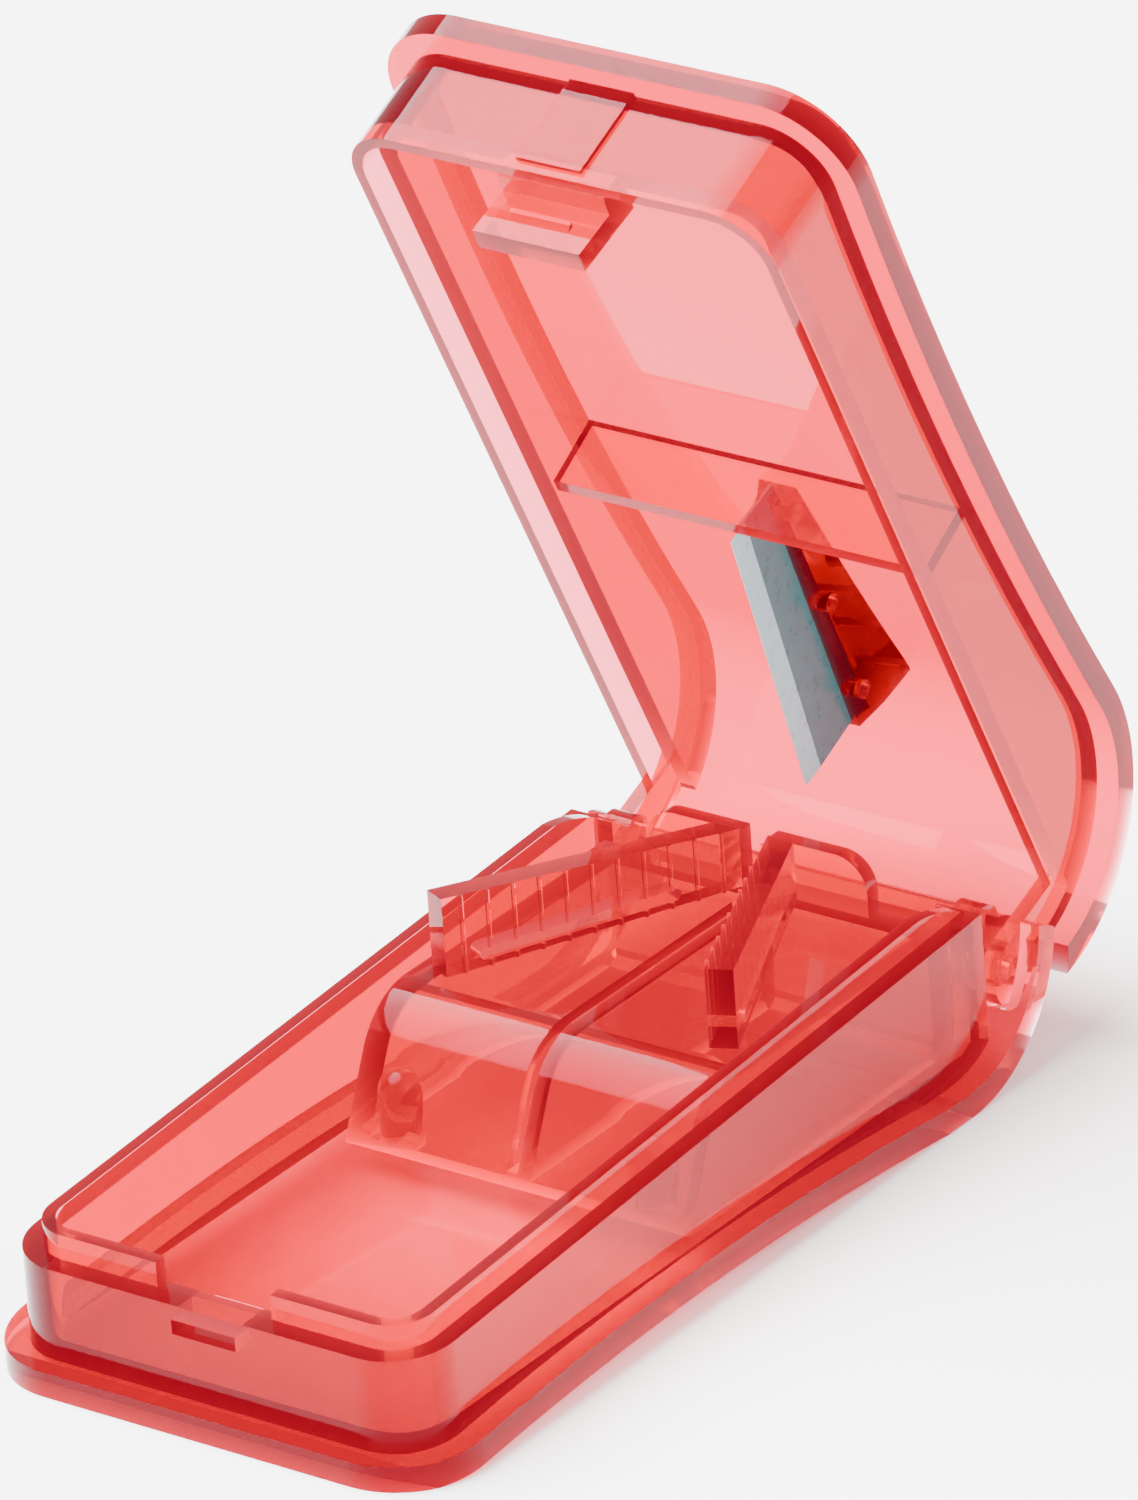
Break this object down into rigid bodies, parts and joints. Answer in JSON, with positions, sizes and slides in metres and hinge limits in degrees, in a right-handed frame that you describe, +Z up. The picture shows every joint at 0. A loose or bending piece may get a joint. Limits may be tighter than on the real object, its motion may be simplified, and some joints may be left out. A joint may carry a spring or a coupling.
{
  "type": "pill splitter",
  "caption": "Pocket pill splitter of see-through plastic: wedge base with a V-shaped bed, and a hinged lid that carries the blade.",
  "frame": {"origin": "middle of the width, at the front edge of the base's underside, on the table", "axes": "+X to the right across the width, +Y from the front edge back to the hinge, +Z up"},
  "size_m": [0.042, 0.0931, 0.0865],
  "materials": {
    "shell_plastic": "clear polished",
    "bed_plastic": "clear polished",
    "clamp_plastic": "clear polished",
    "blade_steel": "ground"
  },
  "bodies": {
    "base": {"base_shell": "shell_plastic", "pill_bed": "bed_plastic", "hinge_pins": "shell_plastic"},
    "lid": {"lid_shell": "shell_plastic", "blade": "blade_steel", "blade_clamp": "clamp_plastic", "blade_pegs": "clamp_plastic"}
  },
  "joints": [
    {"name": "lid_hinge", "type": "hinge", "parent": "base", "child": "lid", "pos_m": [0, 0.0789, 0.0078], "axis": [1, 0, 0], "range_deg": [0, 68.2]}
  ]
}
